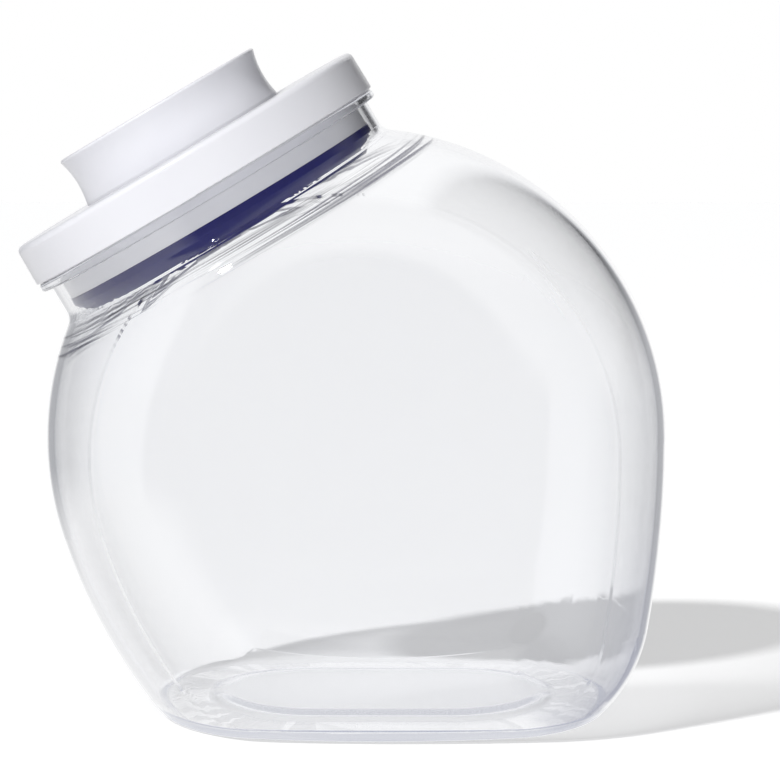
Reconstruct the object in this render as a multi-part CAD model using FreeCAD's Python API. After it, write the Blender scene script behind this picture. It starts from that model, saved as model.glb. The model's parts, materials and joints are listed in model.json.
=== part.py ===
import FreeCAD
import Part
import math
import os

Vector = FreeCAD.Vector

# Jar body: a ball flattened front and back, with a fuller foot and a cut-off base
body_radius = 114.2
body_centre_height = 101.6
body_depth = 164.0
half_depth = body_depth / 2
face_edge_round = 40.0
wall = 2.7
foot_overrun = 16.0
foot_radius = 330.0
left_flank_start = 198.0
left_flank_radius = 210.0
right_flank_radius = 416.0
left_face_corner = 2.0
right_face_corner = 4.0
base_thickness = 5.0
base_edge_round = 3.0
floor_round = 0.06 * half_depth
recess_left_margin = 16.6058
recess_right_margin = 16.8049
recess_side_margin = 16.6896
recess_end_flat = 12.0
recess_depth = 1.6
recess_slope = 6.0
recess_round = 12.0

# Neck: as wide as the flat faces leave room for, its axis a little left of the body's centre
neck_radius = 0.8183 * half_depth
neck_tilt = 30.5
neck_axis_shift = -1.0
neck_height = 15.6
rim_bead = 3.7
rim_thickness = 3.2
rim_round = 1.0
neck_blend = 4.5

# Radii in the lid are shares of the neck's radius, so that the lid follows the neck
seat_gap = 0.3
cover_overhang = 0.2
cover_draft = 0.3
cover_height = 15.4
cover_wall = 2.4
cover_edge_round = 2.4
cover_lip_round = 0.6
collar_depth = 7.8
collar_wall = 2.2
collar_round = 0.5
rib_count = 8
rib_thickness = 1.6
rib_height = 4.0
plug_play = 1.5
plug_wall = 2.4
plug_reach = 10.0
plug_flange = 2.0
cup_radius = 0.775 * neck_radius
cup_wall = 2.0
cup_floor = 1.9
boss_circle = 0.699 * neck_radius
boss_radius = 0.0432 * neck_radius

# Gasket, squeezed between the plug's shoulder and the clamp plate
gasket_play = 1.2
gasket_land = 3.0
gasket_taper = 5.8
gasket_skirt = 0.6
gasket_fit = 0.2
gasket_top_round = 0.9
gasket_side_round = 1.6
gasket_lip_round = 0.5
plate_thickness = 2.0
plate_ledge = 2.2
plate_round = 0.5
clamp_lift = 3.0

# Button, which pops up as the lid's handle and is pushed down to seal
button_radius = 0.6095 * neck_radius
button_height = 19.3
button_waist = 1.45
button_foot = 0.55
button_rim = 1.0
button_wall = 0.0358 * neck_radius
button_dish = 1.2
dish_curve = 0.22
pressed_proud = 1.3
button_hole_play = 0.7
hole_edge_round = 1.0
stop_flange = 1.4
stop_reach = 0.0358 * neck_radius
core_plate = 2.0
core_tube_radius = 0.134 * neck_radius
core_tube_wall = 2.0
core_screw_circle = 0.462 * neck_radius

# Wedge drive: four blades push four sliders out, and these lift the clamp plate
slider_travel = 0.08942 * neck_radius
wedge_tip = 0.2086 * neck_radius
wedge_overlap = 4.0
blade_width = 0.0894 * neck_radius
slider_width = 0.1192 * neck_radius
slider_inner = 0.1833 * neck_radius
post_outer = 0.2832 * neck_radius
foot_tip = 2.6
bar_width = 0.0671 * neck_radius
bar_height = 4.2
leg_width = 0.0596 * neck_radius
rail_width = 0.0298 * neck_radius
rail_height = 2.5

# Latch that holds the button down
latch_angle = 45.0
latch_arm_length = 17.0
latch_arm_width = 4.4
latch_arm_thickness = 1.8
latch_pin_radius = 1.0
latch_swing = 3.0
latch_play = 0.35
latch_pivot_radius = 1.25
latch_pivot_height = 3.5
latch_lug = 3.0
latch_head_radius = 2.0
latch_clear = 1.0
cam_radius = 0.2534 * neck_radius
cam_thickness = 2.5
cam_width = 0.1788 * neck_radius
cam_depth = 1.6
cam_return = 3.2

# Spring and screws
spring_wire = 1.2
spring_radius = 0.1043 * neck_radius
spring_turns = 7
spring_end_pitch = 1.75
spigot_height = 6.0
screw_radius = 1.0
screw_head_radius = 1.9
screw_head_height = 1.1
screw_length = 8.0
core_screw_length = 4.4

# Clearances
slide_gap = 0.2
wedge_gap = 0.15
stop_gap = 0.3
bar_gap = 0.8
pivot_play = 0.05
screw_play = 0.05
rest_gap = 0.05
plate_gap = 0.1

# How far a cut runs past the face it opens, and how near two places count as one
overcut = 1.0
same_place = 0.001

# Stations along the lid's axis, measured from the body's centre
rim_station = math.sqrt(body_radius ** 2 - neck_radius ** 2) + neck_height
cover_bottom = rim_station + seat_gap
lid_top = cover_bottom + cover_height
cover_under = lid_top - cover_wall
collar_bottom = lid_top - collar_depth
button_top = lid_top + button_height
button_travel = button_height - pressed_proud
stop_top = collar_bottom - slide_gap
stop_bottom = stop_top - stop_flange
floor_top = stop_bottom - button_travel - stop_gap
floor_bottom = floor_top - cup_floor
plate_top = floor_bottom - stop_gap - clamp_lift
plate_bottom = plate_top - plate_thickness
shoulder = rim_station - plug_reach
slider_bottom = floor_top + slide_gap
core_top = button_top - button_dish - button_wall
core_under = core_top - core_plate
blade_tip = floor_top + button_travel + stop_gap
pivot_station = floor_top + latch_pivot_height
latch_station = pivot_station + latch_arm_length

# Radii about the lid's axis
rim_radius = neck_radius + rim_bead
cover_radius = rim_radius + cover_overhang
bore_radius = neck_radius - wall
plug_radius = bore_radius - plug_play
gasket_radius = bore_radius - gasket_play
gasket_inner = cup_radius + gasket_fit
plate_radius = gasket_inner + plate_ledge
hole_radius = button_radius + button_hole_play
skirt_radius = button_radius - button_foot
skirt_inner = skirt_radius - button_wall
bar_inner = post_outer + slider_travel + bar_gap
bar_outer = bar_inner + bar_width
foot_slope = clamp_lift / slider_travel
wedge_slope = slider_travel / button_travel
leg_start = slider_width / 2 + 2 * slide_gap
leg_end = leg_start + leg_width
leg_middle = (leg_start + leg_end) / 2
bar_middle = (bar_inner + bar_outer) / 2
cam_face = cam_radius + cam_thickness
cam_pocket = cam_face - cam_depth
arm_inner = cam_face + latch_clear
lug_inner = arm_inner + latch_arm_thickness + slide_gap
lug_outer = lug_inner + latch_lug
sides = {"right": 0.0, "back": 90.0, "left": 180.0, "front": 270.0}
corner_angles = [45.0, 135.0, 225.0, 315.0]

# How far inside the front outline the flat faces begin
ball_reach = math.sqrt((body_radius - face_edge_round) ** 2 - (half_depth - face_edge_round) ** 2)
flat_inset = body_radius - ball_reach
left_foot_radius = flat_inset + left_face_corner
right_foot_radius = flat_inset + right_face_corner

across = Vector(0, 1, 0)
upward = Vector(0, 0, 1)
origin = Vector(0, 0, 0)


def direction(degrees):
    angle = math.radians(degrees)
    return Vector(math.cos(angle), 0, math.sin(angle))


def arc(start, middle, end):
    return Part.Arc(start, middle, end).toShape()


# Corners are (radius, station, rounding): straight edges joined by tangent arcs
def rounded_profile(corners):
    count = len(corners)
    cut = []
    for i in range(count):
        here = Vector(corners[i][0], 0, corners[i][1])
        before = Vector(corners[i - 1][0], 0, corners[i - 1][1])
        after = Vector(corners[(i + 1) % count][0], 0, corners[(i + 1) % count][1])
        to_before = (before - here).normalize()
        to_after = (after - here).normalize()
        half = to_before.getAngle(to_after) / 2
        reach = corners[i][2] / math.tan(half)
        bisector = to_before + to_after
        middle = here
        if corners[i][2] > 0:
            inset = corners[i][2] / math.sin(half) - corners[i][2]
            middle = here + bisector.normalize() * inset
        cut.append((here + to_before * reach, middle, here + to_after * reach))
    edges = []
    for i in range(count):
        if corners[i][2] > 0:
            edges.append(arc(*cut[i]))
        edges.append(Part.makeLine(cut[i][2], cut[(i + 1) % count][0]))
    return Part.Wire(edges)


def turned_ring(wire):
    return Part.Face(wire).revolve(origin, upward, 360)


def sharp_ring(points):
    return turned_ring(rounded_profile([(r, s, 0) for r, s in points]))


def disc(radius, bottom, top, x=0.0, y=0.0):
    return Part.makeCylinder(radius, top - bottom, Vector(x, y, bottom))


# A flat outline of (radius, station) points, as thick as width, on one side of the axis
def radial_plate(points, width):
    corners = [Vector(r, -width / 2, s) for r, s in points]
    face = Part.Face(Part.makePolygon(corners + corners[:1]))
    return face.extrude(Vector(0, width, 0))


# A round rod that runs straight out from the axis
def radial_rod(radius, start, end, station, y=0.0):
    return Part.makeCylinder(radius, end - start, Vector(start, y, station), Vector(1, 0, 0))


def block(x0, x1, y0, y1, z0, z1):
    return Part.makeBox(x1 - x0, y1 - y0, z1 - z0, Vector(x0, y0, z0))


def turned(shape, degrees):
    copy = shape.copy()
    copy.rotate(origin, upward, degrees)
    return copy


def on_circle(radius, degrees):
    angle = math.radians(degrees)
    return radius * math.cos(angle), radius * math.sin(angle)


# A countersunk screw, head down, with its shank standing up along the lid's axis
def screw(x, y, head_bottom, length):
    head = Part.makeCone(screw_head_radius, screw_radius, screw_head_height, Vector(x, y, head_bottom))
    shank = disc(screw_radius, head_bottom + screw_head_height, head_bottom + length, x, y)
    return head.fuse(shank).removeSplitter()


def screw_hole(x, y, head_bottom, length):
    top_radius = screw_radius + screw_play
    low_radius = screw_head_radius + screw_play
    head = Part.makeCone(low_radius, top_radius, screw_head_height, Vector(x, y, head_bottom))
    return head.fuse(disc(top_radius, head_bottom, head_bottom + length + 2 * screw_play, x, y))


# Centre of the foot's arc: a given distance above each of the two corner arcs' centres
def inside_both(left, left_reach, right, right_reach):
    span = right - left
    along = (span.Length ** 2 + left_reach ** 2 - right_reach ** 2) / (2 * span.Length)
    rise = math.sqrt(left_reach ** 2 - along ** 2)
    forward = span.normalize()
    return left + forward * along + Vector(-forward.z, 0, forward.x) * rise


def heading(vector):
    return math.degrees(math.atan2(vector.z, vector.x)) % 360


# The front outline as tangent arcs: (centre, radius, first and last heading in degrees)
def outline_arcs():
    centre = Vector(0, 0, body_centre_height)
    bottom = -foot_overrun
    flank = centre + direction(left_flank_start) * (body_radius - left_flank_radius)
    drop = flank.z - bottom - left_foot_radius
    left_angle = 180 + math.degrees(math.asin(drop / (left_flank_radius - left_foot_radius)))
    left_foot = flank + direction(left_angle) * (left_flank_radius - left_foot_radius)
    right = centre + Vector(body_radius - right_flank_radius, 0, 0)
    drop = right.z - bottom - right_foot_radius
    right_angle = 360 - math.degrees(math.asin(drop / (right_flank_radius - right_foot_radius)))
    right_foot = right + direction(right_angle) * (right_flank_radius - right_foot_radius)
    foot = inside_both(left_foot, foot_radius - left_foot_radius, right_foot, foot_radius - right_foot_radius)
    foot_first = heading(left_foot - foot)
    foot_last = heading(right_foot - foot)
    return [
        (centre, body_radius, 0.0, left_flank_start),
        (flank, left_flank_radius, left_flank_start, left_angle),
        (left_foot, left_foot_radius, left_angle, foot_first),
        (foot, foot_radius, foot_first, foot_last),
        (right_foot, right_foot_radius, foot_last, right_angle),
        (right, right_flank_radius, right_angle, 360.0),
    ]


# The crown runs round the outline: a ball's curve that ends in a rounded edge at the flat faces
def crown_edges(outer_point, outward, inset):
    ball = body_radius - inset
    edge = face_edge_round - inset
    height = half_depth - inset
    centre = outer_point - outward * ball
    lean = math.atan2(height - edge, ball_reach)
    between = (lean + math.pi / 2) / 2

    def point(r, y):
        return centre + outward * r + across * y

    def crown_point(side):
        return point(ball * math.cos(lean), side * ball * math.sin(lean))

    def edge_middle(side):
        lift = height - edge + edge * math.sin(between)
        return point(ball_reach + edge * math.cos(between), side * lift)

    return [
        arc(point(ball_reach, -height), edge_middle(-1), crown_point(-1)),
        arc(crown_point(-1), point(ball, 0), crown_point(1)),
        arc(crown_point(1), edge_middle(1), point(ball_reach, height)),
    ]


def crowned_body(inset):
    arcs = outline_arcs()
    faces = []
    rims = {-1: [], 1: []}
    for i in range(len(arcs)):
        centre, radius, first, last = arcs[i]
        outward = direction(first)
        for edge in crown_edges(centre + outward * (radius - inset), outward, inset):
            faces.append(edge.revolve(centre, -across, last - first))
        for side in rims:
            lift = across * (side * (half_depth - inset))
            reach = radius - flat_inset
            points = [centre + lift + direction(a) * reach for a in (first, (first + last) / 2, last)]
            rims[side].append(arc(*points))
    for side in rims:
        faces.append(Part.Face(Part.Wire(rims[side])))
    shell = Part.makeShell(faces)
    shell.sewShape()
    solid = Part.makeSolid(shell)
    if solid.Volume < 0:
        solid.reverse()
    return solid


tilt = FreeCAD.Rotation(across, -neck_tilt)
lid_origin = Vector(0, 0, body_centre_height) + tilt.multVec(Vector(neck_axis_shift, 0, 0))
lid_placement = FreeCAD.Placement(lid_origin, tilt)


def in_jar(shape):
    copy = shape.copy()
    copy.transformShape(lid_placement.toMatrix())
    return copy


# Edges that stay at one radius about the lid's axis, between two stations
def edges_round_axis(shape, radius, low, high):
    back = lid_placement.inverse()
    found = []
    for edge in shape.Edges:
        points = [back.multVec(edge.valueAt(p)) for p in
                  (edge.FirstParameter, (edge.FirstParameter + edge.LastParameter) / 2, edge.LastParameter)]
        if all(abs(math.hypot(p.x, p.y) - radius) < 0.01 and low < p.z < high for p in points):
            found.append(edge)
    return found


# Where the recess lies within the flat foot: its left and right end and half its width
def recess_sides(foot):
    return foot.XMin + recess_left_margin, foot.XMax - recess_right_margin, foot.YMax - recess_side_margin


# A level rectangle with round corners, whose sides lie the inset within the recess's outline
def recess_wire(foot, inset, height):
    left, right, half_width = recess_sides(foot)
    corner = half_width - recess_end_flat / 2
    side_y = recess_end_flat / 2
    corners = [
        (0, right - corner, side_y), (90, left + corner, side_y),
        (180, left + corner, -side_y), (270, right - corner, -side_y)]
    edges = []
    for angle, x, y in corners:
        centre = Vector(x, y, height)
        points = []
        for turn in (angle, angle + 45, angle + 90):
            dx, dy = on_circle(corner - inset, turn)
            points.append(centre + Vector(dx, dy, 0))
        if edges:
            edges.append(Part.makeLine(edges[-1].Vertexes[-1].Point, points[0]))
        edges.append(arc(*points))
    edges.append(Part.makeLine(edges[-1].Vertexes[-1].Point, edges[0].Vertexes[0].Point))
    return Part.Wire(edges)


# The rims of the recess, under the base and on the jar's floor
def recess_edges(shape, foot):
    levels = (0, recess_depth, base_thickness, base_thickness + recess_depth)
    left, right, half_width = recess_sides(foot)
    found = []
    for edge in shape.Edges:
        box = edge.BoundBox
        level = any(abs(box.ZMin - z) < same_place and abs(box.ZMax - z) < same_place for z in levels)
        along = box.XMin > left - overcut and box.XMax < right + overcut
        if level and along and box.YMin > -half_width - overcut and box.YMax < half_width + overcut:
            found.append(edge)
    return found


def make_jar_body():
    reach = 3 * body_radius
    below = block(-reach, reach, -reach, reach, -reach, 0)
    outer = crowned_body(0).cut(below)
    outer = outer.makeFillet(base_edge_round, [e for e in outer.Edges if e.BoundBox.ZMax < same_place])
    foot = [f for f in outer.Faces if f.BoundBox.ZMax < same_place][0].BoundBox
    inside = body_radius / 2
    outer = outer.fuse(in_jar(disc(neck_radius, inside, rim_station)))
    outer = outer.makeFillet(neck_blend, edges_round_axis(outer, neck_radius, inside, rim_station - overcut))
    rim = rounded_profile([
        (bore_radius, rim_station - rim_thickness, 0), (rim_radius, rim_station - rim_thickness, rim_round),
        (rim_radius, rim_station, rim_round), (bore_radius, rim_station, 0)])
    outer = outer.fuse(in_jar(turned_ring(rim)))
    floor = block(-reach, reach, -reach, reach, -reach, base_thickness)
    cavity = crowned_body(wall).cut(floor)
    corner = [e for e in cavity.Edges if e.BoundBox.ZMax < base_thickness + same_place]
    cavity = cavity.makeFillet(floor_round, corner)
    cavity = cavity.fuse(in_jar(disc(bore_radius, inside, rim_station + inside)))
    blend = edges_round_axis(cavity, bore_radius, inside, rim_station - overcut)
    cavity = cavity.makeFillet(neck_blend + wall, blend)
    held = cavity.common(in_jar(disc(reach, -reach, rim_station))).Volume
    print("jar holds %.2f litres to the brim" % (held / 1e6))
    rims = [recess_wire(foot, 0, 0), recess_wire(foot, recess_slope, recess_depth)]
    recess = Part.makeLoft(rims, True, True)
    raised = recess.copy()
    raised.translate(Vector(0, 0, base_thickness))
    body = outer.cut(cavity.cut(raised)).cut(recess).removeSplitter()
    return body.makeFillet(recess_round, recess_edges(body, foot))


def make_lid_cover():
    low_radius = cover_radius + cover_draft
    collar_radius = hole_radius + collar_wall
    cover = turned_ring(rounded_profile([
        (low_radius, cover_bottom, cover_lip_round), (cover_radius, lid_top, cover_edge_round),
        (hole_radius, lid_top, hole_edge_round), (hole_radius, collar_bottom, collar_round),
        (collar_radius, collar_bottom, collar_round), (collar_radius, cover_under, 0),
        (cover_radius - cover_wall, cover_under, 0), (low_radius - cover_wall, cover_bottom, 0)]))
    ribs = []
    for i in range(rib_count):
        rib = radial_plate([
            (hole_radius + collar_wall / 2, cover_under - rib_height),
            (cover_radius - cover_wall / 2, cover_under - rib_height),
            (cover_radius - cover_wall / 2, cover_under + cover_wall / 2),
            (hole_radius + collar_wall / 2, cover_under + cover_wall / 2)], rib_thickness)
        ribs.append(turned(rib, (i + 0.5) * 360 / rib_count))
    posts = []
    holes = []
    for angle in corner_angles:
        x, y = on_circle(boss_circle, angle)
        posts.append(disc(boss_radius, floor_top, cover_under + cover_wall / 2, x, y))
        holes.append(screw_hole(x, y, floor_bottom, screw_length))
    cover = cover.fuse(ribs + posts).cut(holes)
    return cover.removeSplitter()


def make_lid_plug():
    flange_radius = cover_radius - cover_wall - slide_gap
    flange_top = rim_station + plug_flange
    plug = sharp_ring([
        (0, floor_bottom), (cup_radius, floor_bottom), (cup_radius, shoulder), (plug_radius, shoulder),
        (plug_radius, rim_station), (flange_radius, rim_station), (flange_radius, flange_top),
        (plug_radius - plug_wall, flange_top), (plug_radius - plug_wall, shoulder + cup_wall),
        (cup_radius - cup_wall, shoulder + cup_wall), (cup_radius - cup_wall, floor_top), (0, floor_top)])
    added = [disc(spring_radius - spring_wire / 2 - stop_gap, floor_bottom, floor_top + spigot_height)]
    removed = []
    for angle in sides.values():
        for side in (-1, 1):
            inner = slider_width / 2 + slide_gap
            rail = block(slider_inner, bar_inner - bar_gap, inner, inner + rail_width,
                         floor_bottom, floor_top + rail_height)
            slot = block(bar_inner - stop_gap, bar_outer + stop_gap, leg_start - stop_gap,
                         leg_end + stop_gap, floor_bottom - overcut, floor_top + overcut)
            for shape, group in ((rail, added), (slot, removed)):
                if side < 0:
                    shape = shape.mirror(origin, across)
                group.append(turned(shape, angle))
    for angle in corner_angles:
        x, y = on_circle(boss_circle, angle)
        removed.append(screw_hole(x, y, floor_bottom, screw_length))
    half = latch_arm_width / 2
    lug = block(lug_inner, lug_outer, -half, half, floor_bottom, pivot_station + half)
    added.append(turned(lug, latch_angle))
    removed.append(turned(radial_rod(latch_pivot_radius, lug_inner, lug_outer, pivot_station), latch_angle))
    plug = plug.fuse(added).cut(removed)
    return plug.removeSplitter()


def make_gasket():
    ledge = plate_top + plate_gap
    low = plate_bottom - gasket_skirt
    skirt_inner_radius = plate_radius + stop_gap
    low_radius = gasket_radius - gasket_taper
    return turned_ring(rounded_profile([
        (gasket_inner, shoulder, 0), (gasket_radius, shoulder, gasket_top_round),
        (gasket_radius, shoulder - gasket_land, gasket_side_round), (low_radius, low, gasket_lip_round),
        (skirt_inner_radius, low, gasket_lip_round), (skirt_inner_radius, ledge, 0),
        (gasket_inner, ledge, 0)]))


def make_clamp_plate():
    plate = turned_ring(rounded_profile([
        (0, plate_bottom, 0), (plate_radius, plate_bottom, plate_round),
        (plate_radius, plate_top, plate_round), (0, plate_top, 0)]))
    holes = [screw_hole(x, y, plate_bottom, screw_length) for x, y in leg_places()]
    return plate.cut(holes)


def leg_places():
    places = []
    for angle in sides.values():
        for side in (-1, 1):
            spot = turned(Part.Vertex(bar_middle, side * leg_middle, 0), angle).Point
            places.append((spot.x, spot.y))
    return places


def foot_height(radius):
    return slider_bottom + foot_tip + (bar_outer - radius) * foot_slope


def make_lift_bridge(angle):
    low = foot_height(bar_outer) + slide_gap
    high = foot_height(bar_inner) + slide_gap
    bar = radial_plate([(bar_inner, high), (bar_outer, low), (bar_outer, high + bar_height),
                        (bar_inner, high + bar_height)], 2 * leg_end)
    bridge = bar
    for side in (-1, 1):
        leg = block(bar_inner, bar_outer, leg_start, leg_end, plate_top, high + bar_height)
        if side < 0:
            leg = leg.mirror(origin, across)
        bridge = bridge.fuse(leg)
    for side in (-1, 1):
        bridge = bridge.cut(screw_hole(bar_middle, side * leg_middle, plate_bottom, screw_length))
    return turned(bridge.removeSplitter(), angle)


def make_wedge_slider(angle):
    top = blade_tip + wedge_overlap
    face_low = blade_tip - (wedge_tip + wedge_gap - slider_inner) / wedge_slope
    face_top = wedge_tip + wedge_gap + wedge_overlap * wedge_slope
    slider = radial_plate([
        (slider_inner, slider_bottom), (bar_outer, slider_bottom), (bar_outer, foot_height(bar_outer)),
        (post_outer, foot_height(post_outer)), (post_outer, top), (face_top, top),
        (slider_inner, face_low)], slider_width)
    return turned(slider, angle)


def make_button_shell():
    rim_low = button_top - button_rim
    foot = lid_top + button_rim
    rim_in = button_radius - button_wall
    dish_edge = button_top - button_dish
    edges = [
        arc(Vector(button_radius, 0, rim_low),
            Vector(button_radius - button_waist, 0, (rim_low + foot) / 2), Vector(skirt_radius, 0, foot)),
    ]
    points = [
        (skirt_radius, foot), (skirt_radius, stop_top), (skirt_radius + stop_reach, stop_top),
        (skirt_radius + stop_reach, stop_bottom), (skirt_inner, stop_bottom), (skirt_inner, core_top),
        (0, core_top), (0, dish_edge)]
    corners = [Vector(r, 0, s) for r, s in points]
    for start, end in zip(corners, corners[1:]):
        edges.append(Part.makeLine(start, end))
    dish_end = Vector(rim_in, 0, button_top)
    dish_middle = Vector(rim_in / 2, 0, dish_edge + button_dish * dish_curve)
    edges.append(arc(corners[-1], dish_middle, dish_end))
    lip = button_radius - button_rim
    edges.append(Part.makeLine(dish_end, Vector(lip, 0, button_top)))
    quarter = button_rim * math.sqrt(0.5)
    edges.append(arc(Vector(lip, 0, button_top), Vector(lip + quarter, 0, rim_low + quarter),
                     Vector(button_radius, 0, rim_low)))
    shell = turned_ring(Part.Wire(Part.__sortEdges__(edges)))
    holes = [screw_hole(*on_circle(core_screw_circle, angle), core_under, core_screw_length)
             for angle in corner_angles]
    return shell.cut(holes)


# A straight slot with round ends, cut into the cam plate from its outer face
def cam_slot(start, end):
    radius = latch_pin_radius + latch_play
    open_face = cam_face + 1
    ends = [radial_rod(radius, cam_pocket, open_face, z, y) for y, z in (start, end)]
    run = Vector(0, end[0] - start[0], end[1] - start[1])
    side = run.cross(Vector(1, 0, 0)).normalize() * radius
    first = Vector(cam_pocket, start[0], start[1])
    corners = [first + side, first + run + side, first + run - side, first - side]
    middle = Part.Face(Part.makePolygon(corners + corners[:1]))
    return middle.extrude(Vector(open_face - cam_pocket, 0, 0)).fuse(ends)


def make_button_core():
    core = disc(skirt_inner - slide_gap, core_under, core_top)
    tube_end = blade_tip + wedge_overlap
    added = [disc(core_tube_radius + core_tube_wall, tube_end, core_under)]
    blade_root = core_tube_radius + core_tube_wall / 2
    blade_top = wedge_tip + (core_under - blade_tip) * wedge_slope
    for angle in sides.values():
        blade = radial_plate([
            (blade_root, blade_tip), (wedge_tip, blade_tip), (blade_top, core_under),
            (blade_root, core_under)], blade_width)
        added.append(turned(blade, angle))
    cam = block(cam_radius, cam_face, -cam_width / 2, cam_width / 2, blade_tip, core_under)
    web = block(blade_root, cam_radius + cam_thickness / 4, -blade_width / 4, blade_width / 4,
                tube_end, core_under)
    added.append(turned(cam, latch_angle))
    added.append(turned(web, latch_angle))
    core = core.fuse(added)
    removed = [disc(core_tube_radius, blade_tip - overcut, core_under)]
    start = (0.0, latch_station)
    over = (latch_swing, latch_station + button_travel)
    notch = (0.0, over[1] - latch_swing)
    back = (-cam_return, over[1] - latch_swing / 3)
    bend = (-cam_return, latch_station + 2 * latch_swing)
    route = [(0.0, blade_tip - 2), start, over, notch, back, bend, start]
    for first, last in zip(route, route[1:]):
        removed.append(turned(cam_slot(first, last), latch_angle))
    for angle in corner_angles:
        x, y = on_circle(core_screw_circle, angle)
        removed.append(screw_hole(x, y, core_under, core_screw_length))
    return core.cut(removed).removeSplitter()


def make_latch_arm():
    half = latch_arm_width / 2
    outer = arm_inner + latch_arm_thickness
    arm = block(arm_inner, outer, -half, half, pivot_station, latch_station)
    added = [radial_rod(half, arm_inner, outer, station) for station in (pivot_station, latch_station)]
    added.append(radial_rod(latch_pin_radius, cam_pocket + slide_gap, outer, latch_station))
    hole = radial_rod(latch_pivot_radius + pivot_play, arm_inner - overcut, outer + overcut, pivot_station)
    return turned(arm.fuse(added).cut(hole).removeSplitter(), latch_angle)


def make_latch_pin():
    head_end = arm_inner - plate_gap
    shank = radial_rod(latch_pivot_radius, head_end, lug_outer, pivot_station)
    head = radial_rod(latch_head_radius, cam_face + stop_gap, head_end, pivot_station)
    return turned(shank.fuse(head).removeSplitter(), latch_angle)


# A spring path point and its heading, after a number of quarter turns
def spring_station(quarter):
    low = floor_top + spring_wire / 2 + rest_gap
    high = core_under - spring_wire / 2 - rest_gap
    last = 4 * spring_turns
    end_rise = spring_end_pitch / 4
    middle_rise = (high - low - 8 * end_rise) / (last - 8)
    rise = min(quarter, 4) * end_rise
    rise += max(0, min(quarter, last - 4) - 4) * middle_rise
    rise += max(0, quarter - last + 4) * end_rise
    return low + rise


def spring_place(quarter):
    angle = quarter * math.pi / 2
    before = max(quarter - 1, 0)
    after = min(quarter + 1, 4 * spring_turns)
    climb = (spring_station(after) - spring_station(before)) / ((after - before) * math.pi / 2)
    x = spring_radius * math.cos(angle)
    y = spring_radius * math.sin(angle)
    return Vector(x, y, spring_station(quarter)), Vector(-y, x, climb).normalize()


# Two arcs that meet with one tangent carry the path from one place and heading to the next
def two_arcs(start, start_heading, end, end_heading):
    chord = end - start
    along = chord.dot(start_heading + end_heading)
    bend = 2 * (1 - start_heading.dot(end_heading))
    reach = (math.sqrt(along ** 2 + bend * chord.dot(chord)) - along) / bend
    first_corner = start + start_heading * reach
    last_corner = end - end_heading * reach
    joint = (first_corner + last_corner) * 0.5
    arcs = []
    for near, corner, far in ((start, first_corner, joint), (joint, last_corner, end)):
        half_way = (near + far) * 0.5
        half_chord = (far - near).Length / 2
        rise = corner - half_way
        bow = half_chord * math.tan(math.atan2(rise.Length, half_chord) / 2)
        arcs.append(arc(near, half_way + rise.normalize() * bow, far))
    return arcs


def make_button_spring():
    path = []
    points = []
    for quarter in range(4 * spring_turns):
        for piece in two_arcs(*spring_place(quarter), *spring_place(quarter + 1)):
            path.append(piece)
            points.extend(piece.discretize(8)[:-1])
    turn = 8 * 7
    gap = min((points[j] - points[i]).Length for i in range(len(points))
              for j in range(i + turn // 2, len(points))) - spring_wire
    print("button spring: least gap between turns %.2f mm" % gap)
    place, heading = spring_place(0)
    section = Part.Wire([Part.makeCircle(spring_wire / 2, place, heading)])
    return Part.Wire(path).makePipeShell([section], True, False)


def screw_group(places, head_bottom, length):
    return Part.makeCompound([screw(x, y, head_bottom, length) for x, y in places])


boss_places = [on_circle(boss_circle, angle) for angle in corner_angles]
core_places = [on_circle(core_screw_circle, angle) for angle in corner_angles]
lid_nodes = {
    "lid_cover": make_lid_cover(),
    "lid_plug": make_lid_plug(),
    "cover_screws": screw_group(boss_places, floor_bottom, screw_length),
    "gasket": make_gasket(),
    "clamp_plate": make_clamp_plate(),
    "plate_screws": screw_group(leg_places(), plate_bottom, screw_length),
    "button_shell": make_button_shell(),
    "button_core": make_button_core(),
    "core_screws": screw_group(core_places, core_under, core_screw_length),
    "button_spring": make_button_spring(),
    "latch_arm": make_latch_arm(),
    "latch_pin": make_latch_pin(),
}
for side, angle in sides.items():
    lid_nodes["wedge_slider_" + side] = make_wedge_slider(angle)
    lid_nodes["lift_bridge_" + side] = make_lift_bridge(angle)

nodes = {"jar_body": make_jar_body()}
for name, shape in lid_nodes.items():
    nodes[name] = in_jar(shape)

box = Part.makeCompound(list(nodes.values())).optimalBoundingBox(False, False)
centring = Vector(-(box.XMin + box.XMax) / 2, 0, 0)
os.makedirs("parts", exist_ok=True)
for name, shape in nodes.items():
    shape.translate(centring)
    shape.exportStep("parts/" + name + ".step")

print("overall size %.1f x %.1f x %.1f mm" % (box.XLength, box.YLength, box.ZLength))
print("lid axis point", lid_origin + centring, "button travel %.2f mm" % button_travel)
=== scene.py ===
import json
import math

import bpy
from mathutils import Matrix, Vector

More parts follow.
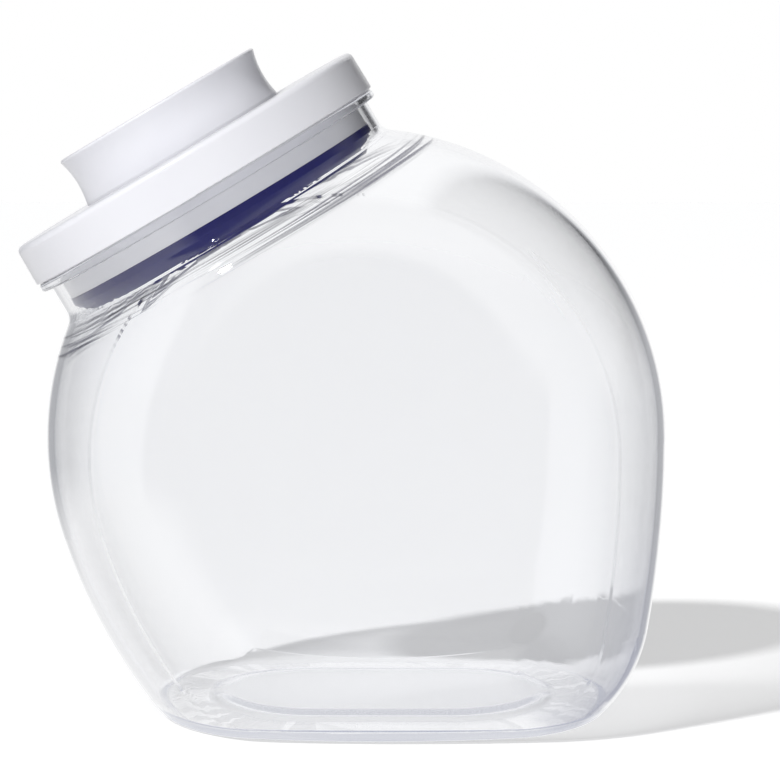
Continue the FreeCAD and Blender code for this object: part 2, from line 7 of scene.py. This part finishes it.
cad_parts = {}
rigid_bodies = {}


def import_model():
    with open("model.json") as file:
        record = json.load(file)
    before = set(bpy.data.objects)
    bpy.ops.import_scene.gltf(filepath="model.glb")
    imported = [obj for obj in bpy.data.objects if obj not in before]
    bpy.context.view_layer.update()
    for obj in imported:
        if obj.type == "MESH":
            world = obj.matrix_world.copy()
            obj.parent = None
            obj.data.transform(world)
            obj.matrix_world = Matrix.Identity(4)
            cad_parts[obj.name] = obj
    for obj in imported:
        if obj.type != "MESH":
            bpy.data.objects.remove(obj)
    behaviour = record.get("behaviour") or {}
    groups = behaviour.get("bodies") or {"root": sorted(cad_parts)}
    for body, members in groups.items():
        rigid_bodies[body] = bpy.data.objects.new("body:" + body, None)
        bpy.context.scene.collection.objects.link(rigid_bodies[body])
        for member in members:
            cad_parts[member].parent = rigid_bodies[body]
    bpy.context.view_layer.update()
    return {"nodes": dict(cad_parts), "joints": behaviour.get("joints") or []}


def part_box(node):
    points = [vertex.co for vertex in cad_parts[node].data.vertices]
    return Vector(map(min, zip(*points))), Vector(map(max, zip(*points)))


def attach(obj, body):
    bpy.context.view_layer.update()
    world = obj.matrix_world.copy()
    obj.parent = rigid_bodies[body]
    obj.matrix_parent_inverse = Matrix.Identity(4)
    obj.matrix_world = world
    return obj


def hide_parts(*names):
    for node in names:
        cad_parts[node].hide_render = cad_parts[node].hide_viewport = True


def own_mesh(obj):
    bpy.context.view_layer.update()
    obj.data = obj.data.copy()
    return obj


for thing in list(bpy.data.objects):
    bpy.data.objects.remove(thing)  # the start-up cube, lamp and camera
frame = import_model()
nodes = frame["nodes"]
joints = {joint["name"]: joint for joint in frame["joints"]}

# the lid's own frame: the clamp plate is a plain disc, so the middle of its box is on the lid's axis
lidAxis = Vector(joints["lid_lift"]["axis"]).normalized()
plateLow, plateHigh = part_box("clamp_plate")
plateMiddle = (plateLow + plateHigh) / 2
lidTilt = math.atan2(-lidAxis.x, lidAxis.z)
lidPlace = Matrix.Translation(plateMiddle) @ Matrix.Rotation(-lidTilt, 4, "Y")
mm = 0.001


class Wire:
    # a shader socket that can be used in sums
    def __init__(self, socket):
        self.socket = socket

    def maths(self, operation, *terms):
        node = self.socket.id_data.nodes.new("ShaderNodeMath")
        node.operation = operation
        for slot, term in zip(node.inputs, terms):
            plug(slot, term)
        return Wire(node.outputs[0])

    def __add__(self, other):
        return self.maths("ADD", self, other)

    def __radd__(self, other):
        return self.maths("ADD", other, self)

    def __sub__(self, other):
        return self.maths("SUBTRACT", self, other)

    def __rsub__(self, other):
        return self.maths("SUBTRACT", other, self)

    def __mul__(self, other):
        return self.maths("MULTIPLY", self, other)

    def __rmul__(self, other):
        return self.maths("MULTIPLY", other, self)

    def __pow__(self, other):
        return self.maths("POWER", self, other)

    def clamped(self):
        return self.maths("MINIMUM", self.maths("MAXIMUM", self, 0.0), 1.0)

    def ramp(self, zeroAt, oneAt):
        # 0 at the first value and before it, 1 at the second and past it
        return ((self - zeroAt) * (1.0 / (oneAt - zeroAt))).clamped()


def plug(slot, value):
    if isinstance(value, Wire):
        slot.id_data.links.new(value.socket, slot)
    else:
        slot.default_value = value


class Finish:
    # a node tree with one way to add any node to it
    def __init__(self, owner):
        owner.use_nodes = True
        self.owner = owner
        self.tree = owner.node_tree
        self.tree.nodes.clear()

    def node(self, kind, settings=None, sockets=None, out=0):
        made = self.tree.nodes.new("ShaderNode" + kind)
        for key, value in (settings or {}).items():
            setattr(made, key, value)
        for key, value in (sockets or {}).items():
            plug(made.inputs[key], value)
        return Wire(made.outputs[out]) if len(made.outputs) else made

    def ray(self, what):
        return self.node("LightPath", out=what)

    def noise(self, where, scale, detail=2.0):
        return self.node("TexNoise", {}, {"Vector": where, "Scale": scale, "Detail": detail})

    def bump(self, height, strength, depth):
        return self.node("Bump", {}, {"Strength": strength, "Distance": depth, "Height": height})

    def blend(self, share, first, second):
        return self.node("Mix", {"data_type": "RGBA"}, {0: share, 6: first, 7: second}, out=2)


def grey(level):
    return (level, level, level, 1.0)


def startFinish(name):
    finish = Finish(bpy.data.materials.new(name))
    where = finish.node("TexCoord", out="Object")
    return finish, where


# stations are in mm along the lid's axis, from the middle of the clamp plate
clearJar = dict(colour=(0.992, 0.994, 0.998, 1.0), ior=1.49, roughness=0.012,
                haze=0.02, hazeScale=160.0, waveScale=22.0, waveBump=0.05, waveDepth=0.0004,
                tint=(0.72, 0.75, 0.85, 1.0), density=13.0,
                lampThrough=grey(0.97), edgeShade=0.90, edgePower=2.0, bounces=2.0,
                # the root values place and draw the painted shade lines round the neck root
                rootPaintedShade=(0.06, 0.06, 0.085, 1.0), rootHigh=-1.5, rootLow=-10.5, rootSoft=1.5,
                rootLines=800.0, rootRun=10.0, rootFrom=0.53, rootContrast=9.0)


def clearPlasticFinish():
    finish, where = startFinish("clearPlastic")
    waves = finish.noise(where, clearJar["waveScale"], 1.0)  # faint flow marks of the moulding
    haze = finish.noise(where, clearJar["hazeScale"], 3.0)
    bump = finish.bump(waves, clearJar["waveBump"], clearJar["waveDepth"])
    # dark lines are painted into the colour round the thick root of the neck: painted shade that stands in for
    # the way the thick root bends the view
    reach = finish.node("VectorMath", {"operation": "DOT_PRODUCT"}, {0: where, 1: lidAxis}, out="Value")
    station = (reach - plateMiddle.dot(lidAxis)) * (1.0 / mm)
    below = station.ramp(clearJar["rootHigh"], clearJar["rootHigh"] - clearJar["rootSoft"])
    above = station.ramp(clearJar["rootLow"], clearJar["rootLow"] + clearJar["rootSoft"])
    tilted = finish.node("VectorRotate", {"rotation_type": "Y_AXIS"}, {"Vector": where, "Angle": lidTilt})
    drawn = finish.node("Mapping", {}, {
        "Vector": tilted, "Scale": (clearJar["rootRun"], clearJar["rootRun"], clearJar["rootLines"])})
    lines = ((finish.noise(drawn, 1.0) - clearJar["rootFrom"]) * clearJar["rootContrast"]).clamped()
    # the base colour carries the painted shade lines round the neck root
    body = finish.node("BsdfPrincipled", {}, {
        "Base Color": finish.blend(lines * below * above, clearJar["colour"], clearJar["rootPaintedShade"]),
        "Roughness": clearJar["roughness"] + clearJar["haze"] * (haze * waves),
        "IOR": clearJar["ior"], "Transmission Weight": 1.0, "Normal": bump})
    # lamps shine through, less below the neck where the wall is edge on
    facing = finish.node("LayerWeight", {}, {"Blend": 0.5}, out="Facing")
    edge = below * clearJar["edgeShade"] * facing ** clearJar["edgePower"]
    lit = finish.ray("Is Shadow Ray") * (1.0 - edge) + finish.ray("Is Diffuse Ray")
    # light that goes to and fro in the wall gets out
    loose = (finish.ray("Glossy Depth") - clearJar["bounces"]).clamped()
    through = finish.node("BsdfTransparent", {}, {"Color": clearJar["lampThrough"]})
    shown = finish.node("MixShader", {}, {0: (lit + loose).clamped(), 1: body, 2: through})
    depth = finish.node("VolumeAbsorption", {}, {"Color": clearJar["tint"], "Density": clearJar["density"]})
    finish.node("OutputMaterial", {}, {"Surface": shown, "Volume": depth})
    return finish.owner


whiteLid = dict(pale=(0.80, 0.80, 0.835, 1.0), deep=(0.755, 0.757, 0.80, 1.0), cloudScale=14.0, ior=1.49,
                roughness=0.24, cloudRough=0.08, grainRough=0.04, coat=0.25, coatRoughness=0.12,
                grainScale=900.0, grainBump=0.035, grainDepth=0.00008)


def whitePlasticFinish():
    finish, where = startFinish("whitePlastic")
    cloud = finish.noise(where, whiteLid["cloudScale"], 3.0)
    grain = finish.noise(where, whiteLid["grainScale"])
    body = finish.node("BsdfPrincipled", {}, {
        "Base Color": finish.blend(cloud, whiteLid["pale"], whiteLid["deep"]),
        "Roughness": whiteLid["roughness"] + whiteLid["cloudRough"] * cloud + whiteLid["grainRough"] * grain,
        "Coat Weight": whiteLid["coat"], "Coat Roughness": whiteLid["coatRoughness"], "IOR": whiteLid["ior"],
        "Normal": finish.bump(grain, whiteLid["grainBump"], whiteLid["grainDepth"])})
    finish.node("OutputMaterial", {}, {"Surface": body})
    return finish.owner


innerParts = dict(pale=(0.62, 0.63, 0.65, 1.0), deep=(0.52, 0.53, 0.56, 1.0), cloudScale=40.0, ior=1.48,
                  roughness=0.42, grainRough=0.12, grainScale=1400.0, grainBump=0.1, grainDepth=0.0001)


def innerPlasticFinish():
    finish, where = startFinish("innerPlastic")
    cloud = finish.noise(where, innerParts["cloudScale"], 4.0)
    grain = finish.noise(where, innerParts["grainScale"])
    body = finish.node("BsdfPrincipled", {}, {
        "Base Color": finish.blend(cloud, innerParts["pale"], innerParts["deep"]),
        "Roughness": innerParts["roughness"] + innerParts["grainRough"] * grain, "IOR": innerParts["ior"],
        "Normal": finish.bump(grain, innerParts["grainBump"], innerParts["grainDepth"])})
    finish.node("OutputMaterial", {}, {"Surface": body})
    return finish.owner


steelParts = dict(pale=(0.66, 0.66, 0.67, 1.0), deep=(0.42, 0.42, 0.44, 1.0), roughness=0.26, lineRough=0.18,
                  stretch=(1.0, 1.0, 9.0), lineScale=700.0, lineBump=0.12, lineDepth=0.00005)


def steelFinish():
    finish, where = startFinish("brushedSteel")
    stretched = finish.node("Mapping", {}, {"Vector": where, "Scale": steelParts["stretch"]})
    lines = finish.noise(stretched, steelParts["lineScale"], 3.0)
    body = finish.node("BsdfPrincipled", {}, {
        "Base Color": finish.blend(lines, steelParts["pale"], steelParts["deep"]), "Metallic": 1.0,
        "Roughness": steelParts["roughness"] + steelParts["lineRough"] * lines,
        "Normal": finish.bump(lines, steelParts["lineBump"], steelParts["lineDepth"])})
    finish.node("OutputMaterial", {}, {"Surface": body})
    return finish.owner


silicone = dict(deep=(0.011, 0.011, 0.11, 1.0), pale=(0.018, 0.018, 0.15, 1.0), cloudScale=30.0, ior=1.43,
                roughness=0.3, dustRough=0.1, dustScale=1100.0, dustBump=0.06, dustDepth=0.0001)


def siliconeFinish():
    finish, where = startFinish("navySilicone")
    cloud = finish.noise(where, silicone["cloudScale"], 3.0)
    dust = finish.noise(where, silicone["dustScale"])
    body = finish.node("BsdfPrincipled", {}, {
        "Base Color": finish.blend(cloud, silicone["deep"], silicone["pale"]),
        "Roughness": silicone["roughness"] + silicone["dustRough"] * dust, "IOR": silicone["ior"],
        "Normal": finish.bump(dust, silicone["dustBump"], silicone["dustDepth"])})
    finish.node("OutputMaterial", {}, {"Surface": body})
    return finish.owner


brushedSteel = steelFinish()
navySilicone = siliconeFinish()
slotFinish = {"clear_plastic": clearPlasticFinish(), "white_plastic": whitePlasticFinish(),
              "inner_plastic": innerPlasticFinish(), "steel": brushedSteel, "navy_silicone": navySilicone}
print("finishes made:", len(slotFinish))


class Tree:
    # one way to start, fill and close a Geometry Nodes tree
    def __init__(self, name, sizes):
        self.tree = bpy.data.node_groups.new(name, "GeometryNodeTree")
        self.tree.interface.new_socket("Geometry", in_out="OUTPUT", socket_type="NodeSocketGeometry")
        self.sizes = sizes
        self.identifiers = {}
        for label, value in sizes.items():
            kind = "NodeSocketInt" if isinstance(value, int) else "NodeSocketFloat"
            made = self.tree.interface.new_socket(label, in_out="INPUT", socket_type=kind)
            self.identifiers[label] = made.identifier
        self.entry = self.tree.nodes.new("NodeGroupInput")

    def size(self, label):
        return Wire(self.entry.outputs[label])

    def node(self, kind, settings=None, sockets=None, out=0):
        made = self.tree.nodes.new("GeometryNode" + kind)
        for key, value in (settings or {}).items():
            setattr(made, key, value)
        for key, value in (sockets or {}).items():
            plug(made.inputs[key], value)
        return Wire(made.outputs[out])

    def finishAs(self, name, geometry, material, place):
        whole = self.node("RealizeInstances", {}, {"Geometry": geometry})
        painted = self.node("SetMaterial", {}, {"Geometry": whole, "Material": material})
        plug(self.tree.nodes.new("NodeGroupOutput").inputs[0], painted)
        maker = bpy.data.objects.new(name + "Maker", bpy.data.meshes.new(name + "Maker"))
        bpy.context.scene.collection.objects.link(maker)
        modifier = maker.modifiers.new("shape", "NODES")
        modifier.node_group = self.tree
        for label, value in self.sizes.items():
            modifier[self.identifiers[label]] = value
        view = bpy.context.evaluated_depsgraph_get()
        mesh = bpy.data.meshes.new_from_object(maker.evaluated_get(view))
        bpy.data.objects.remove(maker)
        mesh.transform(place)
        mesh.shade_smooth()
        piece = bpy.data.objects.new(name, mesh)
        bpy.context.scene.collection.objects.link(piece)
        return piece


# radii and stations in mm
seal = dict(outer=63.2, inner=52.2, topStation=8.2, land=3.0, lowRadius=57.4, lowStation=-1.61,
            skirtInner=54.7, ledgeStation=1.15, round=0.55, roundSteps=6, ringSteps=192, keep=0.58)


def sealProfile():
    # section of the gasket in the plane of radius and height, as a closed line
    corners = [(seal["inner"], seal["topStation"]), (seal["outer"], seal["topStation"]),
               (seal["outer"], seal["topStation"] - seal["land"]), (seal["lowRadius"], seal["lowStation"]),
               (seal["skirtInner"], seal["lowStation"]), (seal["skirtInner"], seal["ledgeStation"]),
               (seal["inner"], seal["ledgeStation"])]
    line = bpy.data.curves.new("sealProfile", "CURVE")
    line.dimensions = "3D"
    spline = line.splines.new("POLY")
    spline.points.add(len(corners) - 1)
    for point, (radius, station) in zip(spline.points, corners):
        point.co = ((radius - seal["outer"]) * mm, -station * mm, 0.0, 1.0)  # the sweep turns the section over
    spline.use_cyclic_u = True
    profile = bpy.data.objects.new("sealProfile", line)
    bpy.context.scene.collection.objects.link(profile)
    return profile


def gasketPiece():
    profile = sealProfile()
    tree = Tree("sealRing", {"Ring Radius": seal["outer"] * mm, "Ring Steps": seal["ringSteps"],
                             "Round": seal["round"] * mm, "Round Steps": seal["roundSteps"]})
    ring = tree.node("CurvePrimitiveCircle", {}, {"Resolution": tree.size("Ring Steps"),
                                                  "Radius": tree.size("Ring Radius")})
    section = tree.node("ObjectInfo", {}, {"Object": profile}, out="Geometry")
    soft = tree.node("FilletCurve", {"mode": "POLY"}, {"Curve": section, "Count": tree.size("Round Steps"),
                                                       "Radius": tree.size("Round"), "Limit Radius": True})
    body = tree.node("CurveToMesh", {}, {"Curve": ring, "Profile Curve": soft})
    piece = tree.finishAs("gasketRing", body, navySilicone, lidPlace)
    bpy.data.objects.remove(profile)
    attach(piece, "lid")
    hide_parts("gasket")
    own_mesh(piece)


# radius, wire and stations in mm
coil = dict(wire=1.2, radius=7.0, turns=7, lowStation=6.85, highStation=46.94, stepsPerTurn=40, wireSides=14,
            seatStation=6.2, keep=0.565)


def springPiece():
    tree = Tree("springCoil", {"Turns": float(coil["turns"]), "Coil Radius": coil["radius"] * mm,
                               "Coil Height": (coil["highStation"] - coil["lowStation"]) * mm,
                               "Wire Radius": coil["wire"] / 2 * mm, "Steps": coil["stepsPerTurn"],
                               "Wire Sides": coil["wireSides"]})
    helix = tree.node("CurveSpiral", {}, {"Resolution": tree.size("Steps"), "Rotations": tree.size("Turns"),
                                          "Start Radius": tree.size("Coil Radius"),
                                          "End Radius": tree.size("Coil Radius"),
                                          "Height": tree.size("Coil Height")})
    section = tree.node("CurvePrimitiveCircle", {}, {"Resolution": tree.size("Wire Sides"),
                                                     "Radius": tree.size("Wire Radius")})
    body = tree.node("CurveToMesh", {}, {"Curve": helix, "Profile Curve": section, "Fill Caps": True})
    seat = lidPlace @ Matrix.Translation((0, 0, coil["lowStation"] * mm))
    piece = tree.finishAs("springCoil", body, brushedSteel, seat)
    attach(piece, "lid")
    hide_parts("button_spring")
    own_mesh(piece)


gasketPiece()
springPiece()
for thing in nodes.values():
    slotName = thing.data.materials[0].name
    thing.data.materials[0] = slotFinish[slotName]
print("pieces made: gasket ring and spring, finishes on", len(nodes), "nodes")


camera = dict(target=(0.0173, 0.0, 0.1187), distance=1.32, pitch=6.6, lens=164.7, sensor=36.0)


def placeCamera():
    data = bpy.data.cameras.new("camera")
    data.lens = camera["lens"]
    data.sensor_width = camera["sensor"]
    data.sensor_fit = "HORIZONTAL"
    pitch = math.radians(camera["pitch"])
    back = Vector((0.0, -math.cos(pitch), math.sin(pitch)))
    thing = bpy.data.objects.new("camera", data)
    thing.location = Vector(camera["target"]) + camera["distance"] * back
    thing.rotation_euler = (math.pi / 2 - pitch, 0.0, 0.0)
    bpy.context.scene.collection.objects.link(thing)
    bpy.context.scene.camera = thing


lamps = dict(toKey=(-0.53, -0.48, 0.655), keyStrength=2.05, keyAngle=3.0,
             toSoft=(0.25, -0.95, 0.12), softSize=0.9, softPower=11.0, reach=1.8)


def placeLamps():
    key = bpy.data.lights.new("keyLamp", "SUN")
    key.energy = lamps["keyStrength"]
    key.angle = math.radians(lamps["keyAngle"])
    soft = bpy.data.lights.new("softLamp", "AREA")
    soft.shape = "DISK"
    soft.size = lamps["softSize"]
    soft.energy = lamps["softPower"]
    for lamp, toward in ((key, lamps["toKey"]), (soft, lamps["toSoft"])):
        thing = bpy.data.objects.new(lamp.name, lamp)
        thing.location = plateMiddle + lamps["reach"] * Vector(toward).normalized()
        thing.rotation_euler = Vector(toward).to_track_quat("Z", "Y").to_euler()
        bpy.context.scene.collection.objects.link(thing)
        thing.visible_glossy = lamp.type == "SUN"  # no round highlight of the soft lamp in the glass
        thing.visible_transmission = lamp.type == "SUN"


# each pair says where a part of the mirrored room starts and is full: headings across, along or up, -1 to 1
room = dict(dim=(0.115, 0.12, 0.165, 1.0),
            topPanel=(0.50, 0.51, 0.53, 1.0), topFade=(0.55, 0.80),
            sideWall=(0.36, 0.365, 0.38, 1.0), backFade=(0.0, 0.25),
            leftPanel=(0.90, 0.92, 0.96, 1.0), leftFade=(-0.62, -0.7033), leftAlong=(0.60, 0.10),
            floorPale=grey(0.9), floorShade=(0.36, 0.37, 0.44, 1.0), floorFade=(-0.16, -0.285),
            shadeFade=(0.0, 0.3333),
            darkGap=(0.01, 0.01, 0.01, 1.0), gapStart=(0.26, 0.3314), gapEnd=(0.90, 0.7333), gapUp=(0.0, 0.1667),
            backdrop=grey(1.0), backdropFade=(0.10, 0.05),
            insideWall=(0.76, 0.765, 0.79, 1.0), bounces=2.0,
            fillLevel=0.24, fillFromLeft=0.16, fillFromFront=0.14, fillTint=(0.985, 0.99, 1.0, 1.0))


def placeWorld():
    world = bpy.data.worlds.new("studioRoom")
    bpy.context.scene.world = world
    sky = Finish(world)
    heading = sky.node("TexCoord", out="Generated")
    across = sky.node("SeparateXYZ", {}, {0: heading}, out="X")
    along = sky.node("SeparateXYZ", {}, {0: heading}, out="Y")
    upward = sky.node("SeparateXYZ", {}, {0: heading}, out="Z")
    # what is mirrored: a dim room with a panel overhead and one on the left, side walls at the back, a pale
    # floor that is shaded on the right, and a white backdrop with a dark gap on its right
    backHalf = along.ramp(*room["backFade"])
    onLeft = across.ramp(*room["leftFade"]) * along.ramp(*room["leftAlong"])
    gap = across.ramp(*room["gapStart"]) * across.ramp(*room["gapEnd"]) * upward.ramp(*room["gapUp"]) * backHalf
    behind = (across * across).ramp(*room["backdropFade"]) * backHalf
    topped = sky.blend(upward.ramp(*room["topFade"]), room["dim"], room["topPanel"])
    walled = sky.blend(backHalf, topped, room["sideWall"])
    sided = sky.blend(onLeft, walled, room["leftPanel"])
    shaded = sky.blend(across.ramp(*room["shadeFade"]), room["floorPale"], room["floorShade"])
    floored = sky.blend(upward.ramp(*room["floorFade"]), sided, shaded)
    gapped = sky.blend(gap, floored, room["darkGap"])
    backed = sky.blend(behind, gapped, room["backdrop"])
    # light that has gone to and fro inside the wall comes out an even pale grey
    trapped = (sky.ray("Glossy Depth") - room["bounces"]).clamped()
    mirrored = sky.blend(trapped, backed, room["insideWall"])
    # what lights matt surfaces: a soft fill, stronger from the left and the front
    level = room["fillLevel"] - room["fillFromLeft"] * across - room["fillFromFront"] * along
    fill = sky.blend(level.clamped(), grey(0.0), room["fillTint"])
    shiny = (sky.ray("Is Glossy Ray") + sky.ray("Is Transmission Ray")).clamped()
    plain = sky.blend(shiny, fill, mirrored)
    # seen straight or through the glass, but not by way of a mirror, the room is white
    unmirrored = (1.0 - sky.ray("Glossy Depth")).clamped()
    seen = (sky.ray("Is Camera Ray") + sky.ray("Is Transmission Ray") * unmirrored).clamped()
    light = sky.node("Background", {}, {"Color": sky.blend(seen, plain, grey(1.0)), "Strength": 1.0})
    sky.node("OutputWorld", {}, {"Surface": light})


paper = dict(reach=3.0, pale=grey(0.95), fibre=grey(0.93), fibreScale=300.0, glow=0.355)


def placeFloor():
    reach = paper["reach"]
    mesh = bpy.data.meshes.new("floor")
    mesh.from_pydata([(-reach, -reach, 0), (reach, -reach, 0), (reach, reach, 0), (-reach, reach, 0)], [],
                     [(0, 1, 2, 3)])
    floor = bpy.data.objects.new("floor", mesh)
    bpy.context.scene.collection.objects.link(floor)
    finish, where = startFinish("floorPaper")
    fibre = finish.noise(where, paper["fibreScale"])
    matt = finish.node("BsdfDiffuse", {}, {"Color": finish.blend(fibre, paper["pale"], paper["fibre"]),
                                           "Roughness": 0.0})
    # the glow that makes the floor white is for the eye alone and lights nothing
    seen = (finish.ray("Is Camera Ray") + finish.ray("Is Transmission Ray")).clamped()
    shine = finish.blend(seen, grey(0.0), grey(1.0))
    glow = finish.node("Emission", {}, {"Color": shine, "Strength": paper["glow"]})
    both = finish.node("AddShader", {}, {0: matt, 1: glow})
    # mirrored rays pass and meet the room's own pale floor, whose edge is soft
    mirrored = finish.ray("Glossy Depth").clamped()
    gone = finish.node("BsdfTransparent", {}, {"Color": grey(1.0)})
    shown = finish.node("MixShader", {}, {0: mirrored, 1: both, 2: gone})
    finish.node("OutputMaterial", {}, {"Surface": shown})
    mesh.materials.append(finish.owner)


placeCamera()
placeLamps()
placeWorld()
placeFloor()
bpy.context.scene.view_settings.view_transform = "Standard"
print("studio set")
